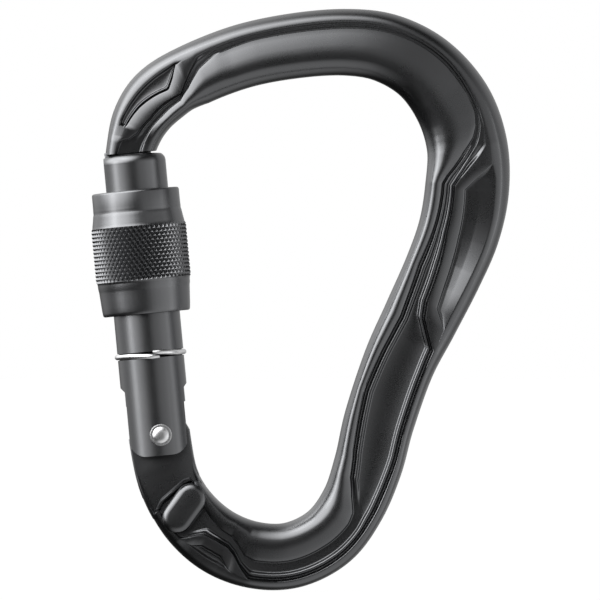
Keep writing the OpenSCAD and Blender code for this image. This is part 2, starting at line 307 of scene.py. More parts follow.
def between(rows, a, column=1):
    """A value at distance a, on straight lines between the rows of a list."""
    places = [row[0] for row in rows]
    k = max(1, min(len(rows) - 1, bisect.bisect_right(places, a)))
    low, high = rows[k - 1], rows[k]
    share = max(0, min(1, (a - low[0]) / (high[0] - low[0])))
    return low[column] + (high[column] - low[column]) * share


# How far the listed middle line is stretched sideways to meet the measured width
STRETCH = 1.0017
fine_steps = [k / 40 for k in range(40 * (len(MIDDLE_LINE) - 1) + 1)]
fine_points = [Vector(through(MIDDLE_LINE, step)[:2]) for step in fine_steps]
measured = [(0, 0)]
for step, before, after in zip(fine_steps[1:], fine_points, fine_points[1:]):
    measured.append((measured[-1][0] + (after - before).length, step))
bar_length = measured[-1][0]
print("the bar is", round(bar_length, 1), "mm long")


def on_bar(a):
    """The bar's middle, its outward direction and its half-width, a mm from the nose."""
    step = between(measured, a)
    x, z, half = through(MIDDLE_LINE, step)
    ahead, behind = through(MIDDLE_LINE, step + 0.02), through(MIDDLE_LINE, max(0, step - 0.02))
    outward = Vector((behind[1] - ahead[1], 0, ahead[0] - behind[0])).normalized()
    return Vector((x * STRETCH, 0, z)), outward, half


# %% [markdown]
# ## The bar's relief
# A forging die leaves relief that makes the bar lighter where it isn't needed: an I-beam web
# along the spine, pockets in the two shoulders, and sharp chevrons where the parts meet. The
# lines of the relief are lists of places: millimetres along the bar, then millimetres outwards
# from its middle. The mesh's columns follow the lines, so every edge is as crisp as the
# die's and no vertex is wasted.

# %% The relief's lines
BEAD_LINE = [
    (0, -1.5), (6.3, -2), (13.3, -3), (18.8, -3.1), (21.5, -1.9), (25, 0.5), (28.6, 1.8),
    (36, 2.3), (50, 2.45), (61, 2.8), (72, 3.1), (81, 3), (83.4, 2.3), (85.3, 1.2),
    (87.6, -0.9), (90.3, -2.7), (92.6, -4.2), (94.2, -4.9), (112, -4.85), (122.4, -3.75),
    (127, -3.85), (137.3, -4.45), (144, -3.85), (148.6, -3.55), (154, -2.6), (157.6, -1),
    (160.1, 0.6), (162.2, 1), (168.3, 0.7), (181.3, 0.75), (183.4, 0.2), (185.3, -1.4),
    (187.1, -2.3), (190, -2.4), (194.3, -3.3), (200, -4.2), (204, -4.6),
]
WEB_EDGE = [
    (0, 3.3), (5, 3.3), (6.2, 1), (7.8, -0.2), (11.3, -1.2), (15.3, -1.5), (17.5, -1.75),
    (19.7, -2), (22, -0.2), (25.4, 2.7), (28.6, 3.2), (36, 3.6), (61, 4), (72, 4.2),
    (83, 3.9), (86.8, 3.6), (90.4, 0.3), (92.8, -1.5), (94.4, -2.4), (98.4, -2.2), (104, -2),
    (109.7, -1), (114, -0.5), (118, -0.1), (120.8, 0.8), (123.3, 2.9), (125.5, 4.9),
    (130, 5.1), (148, 5), (156, 4.5), (165, 4.4), (172, 4.5), (181.8, 4.6), (183.5, 2.85),
    (185.2, 1), (186.8, 0.1), (189.4, 0), (192, 0.5), (193.3, 2.3), (194.5, 4.2), (204, 4.2),
]
# The web's depth at its outer edge and at the bead, and how wide its outer wall is
WEB_DEPTH = [
    (0, 1.1, 1.1, 0.25), (24, 1.1, 1.2, 0.25), (27, 0.5, 0.8, 0.25), (30, 0.12, 0.5, 0.25),
    (80, 0.12, 0.5, 0.25), (84, 0.02, 0.6, 0.4), (86.8, 0.1, 0.9, 0.7), (90, 0.9, 1.1, 0.7),
    (92.8, 1.1, 1.1, 0.3), (112, 1.1, 1.1, 0.25), (120, 1.3, 1.3, 0.25), (160, 1.35, 1.35, 0.25),
    (185, 1.4, 1.4, 0.3), (198, 1.4, 1.3, 0.25), (204, 1.3, 1.3, 0.25),
]
# The shares of the web's two thin ribs, beside its outer edge and beside the bead
RIB_SHARES = [(0, 0, 0), (7, 0, 0), (9, 0.3, 0), (22, 0.3, 0), (27, 0, 0), (86, 0, 0),
              (89, 0.3, 0.5), (95, 0.8, 1), (154, 1, 1), (158, 1, 0), (189, 1, 0), (193.5, 0, 0),
              (204, 0, 0)]
# Pockets: outer line, inner line, depth, and the share of the thin rib beside the inner line
POCKETS = [
    (0, 3.5, 3.4, 0, 0), (8, 3.45, 2.2, 0, 1), (8.5, 3.45, 2.05, 1, 1), (12, 3.45, 1.4, 1.1, 1),
    (16.6, 3.45, 0.2, 1.1, 1), (17.9, 3.45, -0.15, 1.1, 1), (18.4, 3.45, 0, 1.1, 1),
    (19.8, 3.45, 1.1, 1.1, 1), (21.6, 3.45, 3.3, 0.9, 1), (22.3, 3.4, 3.1, 0, 0),
    (28, 3.35, 3.3, 0, 0), (60, 4.1, 4.05, 0, 0), (72, 4.35, 4.3, 0, 0),
    (84, 4.2, 4.1, 0, 0), (90.1, 4.6, 4.4, 0, 0),
    (92.5, 5.15, 1.7, 0.5, 0), (95.1, 5.3, -0.6, 0.7, 0), (99.4, 5.5, -0.25, 0.9, 0),
    (104.3, 5.4, 0.1, 1.2, 0), (109.4, 5.2, 0.8, 1.4, 0), (113.8, 5, 1.25, 1.2, 0),
    (118, 4.95, 1.8, 0.7, 0), (121.2, 4.95, 4.85, 0.1, 0), (124, 5.2, 5.15, 0, 0),
    (148, 5.15, 5.1, 0, 0), (165, 4.7, 4.6, 0, 0), (181.8, 4.7, 4.65, 0, 0),
    (184.8, 4.2, 4.1, 0, 0.7), (185.4, 4, 3.8, 0.6, 0.7), (186.2, 3.8, 2.9, 0.8, 0.7),
    (187.3, 3.7, 1.95, 0.8, 0.7), (189.2, 3.75, 1.9, 0.8, 0.7), (191, 3.7, 2.15, 0.8, 0.7),
    (192.4, 3.7, 3.6, 0.5, 0.7), (193, 3.9, 3.7, 0, 0), (195, 4.3, 4.25, 0, 0),
    (204, 4.3, 4.25, 0, 0),
]
RIM_LINE = [
    (0, 3.6), (8, 3.6), (22, 3.55), (30, 3.4), (60, 4), (75, 4.4), (86, 4.6), (92, 5.3),
    (99, 5.7), (108, 5.4), (121, 5.2), (150, 5.25), (160, 4.9), (181, 4.8), (186, 4.3),
    (194, 4.3), (204, 4.4),
]
# Heights above the bar's mid-plane: the flat beside the rim, and the crest of the inner bead
FLAT_HEIGHT = [(0, 4.1), (4, 4.2), (9, 4.6), (16, 4.85), (60, 4.85), (100, 4.75),
               (130, 4.75), (165, 4.85), (181, 4.75), (190, 4.5), (197, 4.35), (204, 4.3)]
CREST_HEIGHT = [(0, 3.7), (4, 4), (8, 4.7), (14, 5.25), (30, 5.4), (84, 5.35), (100, 5.15),
                (140, 5.15), (160, 5.3), (175, 5.4), (189, 5.1), (197, 4.85), (204, 4.75)]
# The bead's height beside the web, and how far across the bead its crest is
BEAD_TOP = [(0, 3.6, 0.4), (8, 4.6, 0.4), (20, 4.9, 0.4), (26, 4.55, 0.5), (31, 4.25, 0.58),
            (76, 4.25, 0.58), (84, 4.6, 0.5), (92, 4.75, 0.35), (150, 4.75, 0.35),
            (160, 4.6, 0.45), (182, 4.6, 0.5), (190, 4.5, 0.45), (204, 4.3, 0.4)]
# How much lower the outer flat is at the bar's side than at the web
CROWN = 1.05
print("relief lines:", len(BEAD_LINE) + len(WEB_EDGE) + len(POCKETS), "places")

# %% [markdown]
# ## One slice of the bar
# A slice is drawn as corners, from the outer edge over the rim, down into the pocket, over
# the web's thin ribs and up on to the inner bead. Each corner is then eased by a small arc of
# three points, because forged metal has no knife edges and a rounded corner is what catches
# the light.


# %% Rolls, corners and the slice
def eased(corners, radius):
    """Each inner corner of a run of (u, height) points, replaced by an arc of three points."""
    run = []
    for before, corner, after in zip(corners, corners[1:], corners[2:]):
        back, on = before - corner, after - corner
        reach_back = corner + back * min(0.42, radius / max(back.length, 1e-6))
        reach_on = corner + on * min(0.42, radius / max(on.length, 1e-6))
        run += [reach_back, (reach_back + reach_on + 2 * corner) / 4, reach_on]
    return run


def roll(edge, crest_place, crest, points, fullness=2.0):
    """A rounded edge, from the bar's side at mid-plane up to its crest."""
    run = []
    for k in range(points):
        turn = math.pi / 2 * k / points
        run.append(Vector((crest_place + (edge - crest_place) * math.cos(turn) ** (2 / fullness),
                           crest * math.sin(turn) ** (2 / fullness))))
    return run


def half_slice(a, half):
    """The front of the bar as (u, height) points, from its outer edge to its inner edge."""
    rim, bead, edge = between(RIM_LINE, a), between(BEAD_LINE, a), between(WEB_EDGE, a)
    outer, inner, sunk, ribbed = (between(POCKETS, a, k) for k in (1, 2, 3, 4))
    edge = min(edge, inner - 0.04)
    flat, crest = between(FLAT_HEIGHT, a), between(CREST_HEIGHT, a)
    bead_top, crest_share = between(BEAD_TOP, a), between(BEAD_TOP, a, 2)
    deep, deep_in, wall = (between(WEB_DEPTH, a, k) for k in (1, 2, 3))
    p = min(1, max(0.02, (outer - inner) / 2.2))
    q = min(1, max(0.02, (edge - bead) / 3.9))
    shelf = outer - ribbed * 0.35 * p - (1 - ribbed) * 0.5 * (outer - inner)
    rib = deep * (1 - 0.65 * between(RIB_SHARES, a))
    strip = deep_in * (1 - 0.45 * between(RIB_SHARES, a, 2))
    corners = [
        (rim + 0.3, flat), (outer, flat), (shelf, flat - sunk * (0.7 + 0.2 * ribbed)),
        (inner + 0.8 * p, flat - sunk), (inner + 0.68 * p, flat - sunk * (1 - 0.55 * ribbed)),
        (inner + 0.42 * p, flat - sunk * (1 - 0.55 * ribbed)), (inner + 0.25 * p, flat - sunk),
        (inner, flat - 0.35 * sunk), (edge, flat),
        (edge - wall * q, flat - deep), (edge - (wall + 0.35) * q, flat - deep),
        (edge - (wall + 0.6) * q, flat - rib), (edge - (wall + 1.1) * q, flat - rib),
        (edge - (wall + 1.4) * q, flat - deep),
        (bead + 1.7 * q, flat - deep_in), (bead + 1.4 * q, flat - strip),
        (bead + 0.8 * q, flat - strip), (bead + 0.6 * q, flat - deep_in),
        (bead + 0.2 * q, flat - deep_in), (bead, bead_top), (bead - 0.4, bead_top + 0.1),
    ]
    corners = [Vector((u, height - CROWN * (max(0, u - edge) / (half - edge)) ** 2))
               for u, height in corners]
    middle = eased(corners, 0.16)
    crest_place = bead - crest_share * (bead + half)
    swell = []
    for k in range(1, 5):
        share = k / 5
        rise = 1 - (1 - share) ** 1.4
        swell.append(Vector((bead + (crest_place - bead) * share,
                             bead_top + (crest - bead_top) * rise)))
    waist = 0.45 * max(0, min(1, (24 - a) / 4))
    inner_roll = roll(waist - half, crest_place, crest, 11, 2.15)
    return roll(half, rim + 0.3, corners[0].y, 8, 1.75) + middle + swell + inner_roll[::-1]


print("a slice has", len(half_slice(130, 6.9)), "points on each face")

# %% [markdown]
# ## Drawing the bar out
# The first slice is a closed loop of edges. Extruding that loop again and again, and moving
# each new loop to the next place along the bar, draws the bar out as a skin of quads. Extrude
# suits anything whose cross-section keeps its number of points.


# %% Extrude a loop through a row of slices
def draw_out(bm, slices):
    """Draws a closed loop through the slices, each a list of points, and closes its ends."""
    loop = [bm.verts.new(point) for point in slices[0]]
    first = loop
    edges = [bm.edges.new(pair) for pair in zip(loop, loop[1:] + loop[:1])]
    for points in slices[1:]:
        grown = bmesh.ops.extrude_edge_only(bm, edges=edges)["geom"]
        fresh = {item for item in grown if isinstance(item, bmesh.types.BMVert)}
        edges = [item for item in grown if isinstance(item, bmesh.types.BMEdge)
                 and item.verts[0] in fresh and item.verts[1] in fresh]
        loop = [next(edge.other_vert(old) for edge in old.link_edges
                     if edge.other_vert(old) in fresh) for old in loop]
        for vert, point in zip(loop, points):
            vert.co = point
    for ring in (first, loop):
        bmesh.ops.contextual_create(bm, geom=ring)


# %% [markdown]
# ## The lip above the hinge
# Towards the hinge the bar stops at a slanted lip, and a thin tongue carries on between the
# cheeks of the gate. The last slices lean over to follow the lip, rise into a low ridge, and
# fall away behind it.

# %% The lip's line, and how the last slices follow it
LIP = 203
LIP_LINE = [(-7, -1.8), (-4.4, -0.9), (-4, 0.4), (-1.4, 0.5), (2.8, -1.3), (4.4, -2.4), (7, -3.2)]


def slice_on_bar(a):
    """A whole slice as points in space: the front from outside to inside, then the back."""
    middle, outward, half = on_bar(a)
    front = half_slice(a, half)
    near_lip = max(0, (a - (LIP - 7)) / 7)
    ridge = min(1, max(0, (a - (LIP - 1.6)) / 0.35))
    fall = min(1, max(0, (a - (LIP - 0.6)) / 0.6))
    points = []
    for side, run in ((-1, front), (1, front[-2:0:-1])):
        for u, height in run:
            if ridge:
                height = max(height, min(3.85, height + 0.85) * ridge)
            height -= fall ** 2 * max(0, height - 2.5)
            place, out, _ = on_bar(a + near_lip * between(LIP_LINE, u)) if near_lip else (
                middle, outward, half)
            points.append(place + out * u + Vector((0, side * height, 0)))
    return points


def stations():
    """Where the slices are: each corner of the relief's lines, and steps of 0.6 mm between."""
    corners = {row[0] for rows in (BEAD_LINE, WEB_EDGE, POCKETS) for row in rows if row[0] < 200}
    steps = {0.6 * k for k in range(1, int(LIP / 0.6))}
    steps |= {LIP - back for back in (1.7, 1.45, 1.25, 0.9, 0.6, 0.45, 0.3, 0.15, 0)}
    kept = sorted(corners)
    for step in sorted(steps):
        if all(abs(step - corner) > 0.2 for corner in kept):
            bisect.insort(kept, step)
    return kept


frame_mesh = bmesh.new()
draw_out(frame_mesh, [slice_on_bar(a) for a in stations()])
print("bar skin:", len(frame_mesh.faces), "faces")

# %% [markdown]
# ## The nose is cut square to the gate
# The bar's nose ends just above the gate's head. A bisect through the first faces cuts it
# square to the gate, with the same working gap as the measured frame, and a fill closes it.

# %% Cut the nose
GATE_REACH = 53.49
NOSE_GAP = 0.3
nose_faces = [face for face in frame_mesh.faces if face.calc_center_median().z > -30
              and face.calc_center_median().x < -28]
nose_parts = {part for face in nose_faces for part in (face, *face.edges, *face.verts)}
cut_place = hinge + gate_axis * (GATE_REACH + NOSE_GAP)
cut = bmesh.ops.bisect_plane(frame_mesh, geom=list(nose_parts), plane_co=cut_place,
                             plane_no=gate_axis, clear_inner=True)
rim_edges = [part for part in cut["geom_cut"] if isinstance(part, bmesh.types.BMEdge)]
bmesh.ops.contextual_create(frame_mesh, geom=rim_edges)
print("nose cut with", len(rim_edges), "edges round it")

# %% [markdown]
# ## The tongue, its cam and the pad
# The tongue is a flat plate that the gate's fork straddles. Its end is a cam: as the gate
# opens, the cam pushes the spring's plunger up. A plate is a filled outline, extruded, with
# its edges bevelled. The outline has a second ring inside it, which leaves the hole that the
# rivet turns in. The rounded pad beside the tongue is a plate too, with a wider bevel.


# %% A bevelled plate from an outline
def plate(bm, outline, thickness, ease, segments, hole=()):
    """Fills an outline in the XZ plane, round a hole if it has one, thickens and eases it."""
    corners, edges = [], []
    for places in filter(None, (outline, hole)):
        ring = [bm.verts.new((x, -thickness / 2, z)) for x, z in places]
        corners += ring
        edges += [bm.edges.new(pair) for pair in zip(ring, ring[1:] + ring[:1])]
    filled = bmesh.ops.triangle_fill(bm, edges=edges, use_beauty=True)["geom"]
    faces = [part for part in filled if isinstance(part, bmesh.types.BMFace)]
    grown = bmesh.ops.extrude_face_region(bm, geom=faces)["geom"]
    far = [part for part in grown if isinstance(part, bmesh.types.BMVert)]
    bmesh.ops.translate(bm, verts=far, vec=(0, thickness, 0))
    skin = {face for vert in corners + far for face in vert.link_faces}
    bmesh.ops.recalc_face_normals(bm, faces=list(skin))
    rims = [edge for edge in {edge for face in skin for edge in face.edges}
            if edge.calc_face_angle(0.0) > 1]
    bmesh.ops.bevel(bm, geom=rims, offset=ease, segments=segments, profile=0.5,
                    affect="EDGES", material=-1)


CAM_LOW = 4
PLUNGER_LIFT, GATE_SWING = 0.8, 27
CAM_RISE = PLUNGER_LIFT / GATE_SWING
tongue_outline = []
for a in (199, 200, 201.5, 203, 204.5, 206, 207.5, 209, 211, 213):
    middle, outward, half = on_bar(a)
    tongue_outline.append(middle + outward * (half - (0.5 if a < 202 else 0)))
for degrees in range(-48, 46, 4):
    reach = CAM_LOW + CAM_RISE * max(0, min(50, degrees + 16))
    turn = math.radians(degrees)
    tongue_outline.append(to_hinge @ Vector((reach * math.sin(turn), 0, reach * math.cos(turn))))
for a in (213, 211, 209, 207.5, 206, 204.5, 203, 201.5, 200, 199):
    middle, outward, half = on_bar(a)
    tongue_outline.append(middle - outward * (half - (0.5 if a < 202 else 0)))
TONGUE, RIVET_HOLE, HOLE_POINTS = 5.9, 1.63, 40
rivet_hole = [to_hinge @ Vector((RIVET_HOLE * math.cos(turn), 0, RIVET_HOLE * math.sin(turn)))
              for turn in (math.tau * step / HOLE_POINTS for step in range(HOLE_POINTS))]
plate(frame_mesh, [(point.x, point.z) for point in tongue_outline], TONGUE, 0.3, 3,
      [(point.x, point.z) for point in rivet_hole])
print("tongue outline of", len(tongue_outline), "points")

# %% [markdown]
# ## The tongue's rims and the pad
# The bar's sides don't stop at the lip: they run on along the tongue as two rims that taper
# to nothing before the gate's cheeks. Each is an oval drawn out along the tongue's edge. The
# pad's outline is two half circles, pushed through the bar so that it shows on both faces.

# %% Draw the rims and add the pad
def edge_rim(bm, side):
    """A tapering rim on the tongue's outer (1) or inner (-1) edge, from the lip upwards."""
    slices = []
    for k in range(14):
        a = 199.4 + 0.6 * k
        middle, outward, half = on_bar(a)
        fade = max(0, (207.2 - a) / 7.8)
        tall, wide = 2.9 + 1.2 * min(1, 2 * fade), 0.35 + 0.3 * fade
        centre = middle + outward * side * (half - wide)
        slices.append([centre + outward * side * wide * math.cos(turn)
                       + Vector((0, tall * math.sin(turn), 0))
                       for turn in (math.tau * step / 20 for step in range(20))])
    draw_out(bm, slices)


edge_rim(frame_mesh, 1)
edge_rim(frame_mesh, -1)

PAD_LENGTH, PAD_RADIUS, PAD_TURN, PAD_FACE = 4.4, 3, math.radians(54), 5.36
pad_middle = on_bar(198)[0] + Vector((0.2, 0, 0.2))
pad_outline = []
for end in (1, -1):
    for step in range(13):
        turn = PAD_TURN - end * math.pi / 2 + math.pi * step / 12
        pad_outline.append(
            (pad_middle.x + end * PAD_LENGTH / 2 * math.cos(PAD_TURN) + PAD_RADIUS * math.cos(turn),
             pad_middle.z + end * PAD_LENGTH / 2 * math.sin(PAD_TURN) + PAD_RADIUS * math.sin(turn)))
plate(frame_mesh, pad_outline, 2 * PAD_FACE, 1.3, 6)
print("pad and rims added,", len(frame_mesh.faces), "faces so far")

# %% [markdown]
# ## The nose's key
# Under the nose hangs a T-shaped key that the gate's head closes round. Both of its bars are
# curved about the hinge, so the gate can swing past them: a rectangle spun a few degrees
# about the hinge gives exactly that.


# %% Spin the key and its neck
def arc_block(bm, low, high, width, from_x, to_x, ease):
    """A block between two distances from the hinge, swept about the hinge and eased."""
    start, end = math.asin(from_x / high), math.asin(to_x / high)
    made = bmesh.ops.create_grid(bm, x_segments=1, y_segments=1, size=0.5)["verts"]
    bmesh.ops.scale(bm, vec=(width, high - low, 1), verts=made)
    bmesh.ops.rotate(bm, verts=made, matrix=Matrix.Rotation(math.pi / 2, 3, "Y")
                     @ Matrix.Rotation(math.pi / 2, 3, "Z"))
    bmesh.ops.translate(bm, verts=made, vec=(0, 0, (low + high) / 2))
    bmesh.ops.rotate(bm, verts=made, matrix=Matrix.Rotation(start, 3, "Y"))
    face = made[0].link_faces[0]
    geometry = [face, *face.edges, *face.verts]
    before = set(bm.verts) - set(made)
    bmesh.ops.spin(bm, geom=geometry, cent=(0, 0, 0), axis=(0, 1, 0), angle=end - start,
                   steps=8, use_duplicate=False)
    block = [vert for vert in bm.verts if vert not in before]
    edges = {edge for vert in block for edge in vert.link_edges}
    sharp = [edge for edge in edges if edge.calc_face_angle(0.0) > 1]
    bmesh.ops.recalc_face_normals(bm, faces=list({f for v in block for f in v.link_faces}))
    bmesh.ops.bevel(bm, geom=sharp, offset=ease, segments=2, profile=0.5, affect="EDGES",
                    material=-1)
    block = [vert for vert in bm.verts if vert not in before]
    bmesh.ops.transform(bm, matrix=to_hinge, verts=block)


KEY_LOW, KEY_HIGH = 48.69, 51.29
arc_block(frame_mesh, KEY_LOW, KEY_HIGH, 5.8, -5.8, 3.1, 0.25)
arc_block(frame_mesh, KEY_HIGH - 0.4, GATE_REACH + 1, 3.6, -5.8, 3.1, 0.2)
finish_piece(frame_mesh, "forged_frame", "frame", frame_finish, ["frame_body"], 50)

# %% [markdown]
# ## The gate
# The gate is turned from bar, then milled: a slot in its head for the key, and a fork with
# flat cheeks at its foot. The measured solid already has every one of those cuts, so it stays
# and gets its finish.

# %% Finish the gate and its plunger
for node, finish in (("gate_arm", gate_finish), ("spring_plunger", spring_finish)):
    for place in frame["nodes"][node].material_slots:
        place.material = finish.material
    print("finished", node)

# %% [markdown]
# ## Turned pieces
# A sleeve, a rivet or a ring is a profile spun about an axis. The profile is a short chain of
# edges, and spin makes the skin. With use_merge the last step closes on the first.


# %% Spin a profile
def turn_profile(bm, profile, steps):
    """Spins (radius, height) points about Z into a skin; a point at radius 0 closes a pole."""
    chain = [bm.verts.new((radius, 0, height)) for radius, height in profile]
    edges = [bm.edges.new(pair) for pair in zip(chain, chain[1:])]
    bmesh.ops.spin(bm, geom=chain + edges, cent=(0, 0, 0), axis=(0, 0, 1), angle=math.tau,
                   steps=steps, use_merge=True, use_duplicate=False)
    bmesh.ops.remove_doubles(bm, verts=bm.verts, dist=0.0005)


# %% [markdown]
# ## The rivet
# The hinge rivet is a steel pin whose two heads are formed in place: a low rim with a domed
# centre, where the forming tool pressed it.

# %% Spin the rivet, head to head
RIVET, HEAD = 1.6, 2.1
HEAD_SEAT, HEAD_TOP = 5.55, 6.5
rivet_mesh = bmesh.new()
half_rivet = [(RIVET, 0), (RIVET, HEAD_SEAT), (HEAD - 0.1, HEAD_SEAT), (HEAD, HEAD_SEAT + 0.1),
              (HEAD, HEAD_TOP - 0.42), (HEAD - 0.07, HEAD_TOP - 0.3), (HEAD - 0.22, HEAD_TOP - 0.26),
              (HEAD - 0.5, HEAD_TOP - 0.32), (HEAD - 0.62, HEAD_TOP - 0.3),
              (HEAD - 0.8, HEAD_TOP - 0.16), (HEAD - 1.2, HEAD_TOP - 0.04),
              (HEAD - 1.7, HEAD_TOP), (0, HEAD_TOP)]
full_rivet = [(r, -h) for r, h in half_rivet[:0:-1]] + half_rivet
turn_profile(rivet_mesh, full_rivet, 48)
bmesh.ops.rotate(rivet_mesh, verts=rivet_mesh.verts, matrix=Matrix.Rotation(math.pi / 2, 3, "X"))
bmesh.ops.transform(rivet_mesh, matrix=to_hinge, verts=rivet_mesh.verts)
finish_piece(rivet_mesh, "hinge_rivet_pin", "gate", bright_finish, ["hinge_rivet"])

# %% [markdown]
# ## The stop ring
# A split ring of steel wire sits in a groove in the gate and stops the sleeve. Its two ends
# pass each other at a slant on the front. A small circle drawn along the ring's path makes
# the wire; near the ends the path drifts up on one side and down on the other, and rides
# outwards, because wire that leaves the groove lies on the tube.

# %% Draw the wire ring
RING_HEIGHT, RING_RADIUS, WIRE = 15.3, 6.34, 0.5
RING_STEPS, WIRE_SIDES = 96, 14
RING_SPLIT = math.radians(-80)
ring_slices = []
for k in range(RING_STEPS + 1):
    share = k / RING_STEPS
    turn = RING_SPLIT - math.radians(5) + math.radians(370) * share
    drift = 0.5 * (max(0, 1 - share * 7) ** 1.3 - max(0, 1 - (1 - share) * 7) ** 1.3)
    out = Vector((math.cos(turn), math.sin(turn), 0))
    thick = WIRE * min(1, 0.55 + 0.15 * min(k, RING_STEPS - k))
    centre_line = RING_RADIUS + min(0.38, 1.1 * abs(drift))
    ring_slices.append([
        out * (centre_line + thick * math.cos(bearing))
        + Vector((0, 0, RING_HEIGHT + drift + thick * math.sin(bearing)))
        for bearing in (step * math.tau / WIRE_SIDES for step in range(WIRE_SIDES))])
ring_mesh = bmesh.new()
draw_out(ring_mesh, ring_slices)
bmesh.ops.transform(ring_mesh, matrix=to_gate, verts=ring_mesh.verts)
finish_piece(ring_mesh, "wire_stop_ring", "ring", bright_finish, ["stop_ring"])

# %% [markdown]
# ## The return spring
# A coil spring inside the gate pushes the plunger against the cam. A short length of wire is
# spun with a rise at each step. The spring shortens as the gate opens.

# %% Spin the coil
SPRING_LOW, SPRING_HIGH, COIL, SPRING_WIRE = 11.5, 26.46, 2.25, 0.35
TURNS, TURN_STEPS, SPRING_KEEP = 9, 20, 0.945
spring_mesh = bmesh.new()
wire = bmesh.ops.create_circle(spring_mesh, segments=8, radius=SPRING_WIRE, cap_ends=False)["verts"]
bmesh.ops.rotate(spring_mesh, verts=wire, matrix=Matrix.Rotation(math.pi / 2, 3, "X"))
bmesh.ops.translate(spring_mesh, verts=wire, vec=(COIL, 0, SPRING_LOW + SPRING_WIRE))
rise = (SPRING_HIGH - SPRING_LOW - 2 * SPRING_WIRE) / (TURNS * TURN_STEPS)
bmesh.ops.spin(spring_mesh, geom=spring_mesh.verts[:] + spring_mesh.edges[:], cent=(0, 0, 0),
               axis=(0, 0, 1), dvec=(0, 0, rise), angle=math.tau * TURNS, steps=TURNS * TURN_STEPS,
               use_duplicate=False)
bmesh.ops.holes_fill(spring_mesh, edges=spring_mesh.edges, sides=0)
bmesh.ops.transform(spring_mesh, matrix=to_gate, verts=spring_mesh.verts)
spring = finish_piece(spring_mesh, "coil_return_spring", "gate", spring_finish, ["return_spring"])
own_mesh(spring)

# %% [markdown]
# ## The knurled sleeve
# A cross-hatched knurl gives the fingers a grip: two sets of slanting grooves leave rows of
# small pyramids. One pyramid is a diamond inset and raised. Spin copies it round the sleeve,
# and each new row is the last one turned by half a pyramid. The band is then trimmed straight
# and the rest of the sleeve is drawn out from its two edges.

# %% One pyramid, then a band of them
SLEEVE_LOW, SLEEVE_LENGTH = 23.09, 23.5
KNURL_LOW, KNURL_TALL = 6.5, 10.3
KNURL_VALLEY, KNURL_PEAK = 8.62, 9.05
AROUND, ROWS = 60, 7
pitch, row = math.tau / AROUND, KNURL_TALL / ROWS


def on_drum(turn, height, radius):
    return Vector((radius * math.cos(turn), radius * math.sin(turn), height))


sleeve_mesh = bmesh.new()
diamond = [sleeve_mesh.verts.new(on_drum(*corner, KNURL_VALLEY)) for corner in
           ((0, KNURL_LOW - row / 2), (pitch / 2, KNURL_LOW), (0, KNURL_LOW + row / 2),
            (-pitch / 2, KNURL_LOW))]
tile = bmesh.ops.contextual_create(sleeve_mesh, geom=diamond)["faces"]
bmesh.ops.inset_region(sleeve_mesh, faces=tile, thickness=0.3, use_even_offset=True,
                       use_boundary=True)
bmesh.ops.translate(sleeve_mesh, verts=tile[0].verts[:], vec=(KNURL_PEAK - KNURL_VALLEY, 0, 0))
bmesh.ops.spin(sleeve_mesh, geom=sleeve_mesh.faces[:], cent=(0, 0, 0), axis=(0, 0, 1),
               angle=math.tau, steps=AROUND, use_duplicate=True)
bmesh.ops.remove_doubles(sleeve_mesh, verts=sleeve_mesh.verts, dist=0.001)
first_row = sleeve_mesh.faces[:]
for k in range(1, 2 * ROWS + 1):
    copy = bmesh.ops.duplicate(sleeve_mesh, geom=first_row)["geom"]
    verts = [part for part in copy if isinstance(part, bmesh.types.BMVert)]
    bmesh.ops.rotate(sleeve_mesh, verts=verts, matrix=Matrix.Rotation(pitch / 2 * (k % 2), 3, "Z"))
    bmesh.ops.translate(sleeve_mesh, verts=verts, vec=(0, 0, row / 2 * k))
bmesh.ops.remove_doubles(sleeve_mesh, verts=sleeve_mesh.verts, dist=0.005)
print("knurl:", len(sleeve_mesh.faces), "faces")

# %% [markdown]
# ## The sleeve's plain ends
# The sleeve is turned to size before it is knurled, so the band sits between two plain ends.
# The band is cut level and its edges are extruded up and down the outside, over the ends and
# into the bore, where a bridge joins the two loops.

# %% Trim the band and draw the rest of the sleeve from its edges
def trim(bm, height, keep_above):
    """Cuts the band level at a height and returns the loop of edges left there."""
    parts = bm.verts[:] + bm.edges[:] + bm.faces[:]
    cut = bmesh.ops.bisect_plane(bm, geom=parts, dist=0.0005, plane_co=(0, 0, height),
                                 plane_no=(0, 0, 1), clear_inner=keep_above,
                                 clear_outer=not keep_above)
    return [part for part in cut["geom_cut"] if isinstance(part, bmesh.types.BMEdge)]


def draw_round(bm, edges, profile):
    """Extrudes a level loop through (radius, height) points, keeping each point's bearing."""
    for radius, height in profile:
        grown = bmesh.ops.extrude_edge_only(bm, edges=edges)["geom"]
        fresh = {part for part in grown if isinstance(part, bmesh.types.BMVert)}
        edges = [part for part in grown if isinstance(part, bmesh.types.BMEdge)
                 and part.verts[0] in fresh and part.verts[1] in fresh]
        for vert in fresh:
            flat = Vector((vert.co.x, vert.co.y, 0)).normalized()
            vert.co = flat * radius + Vector((0, 0, height))
    return edges


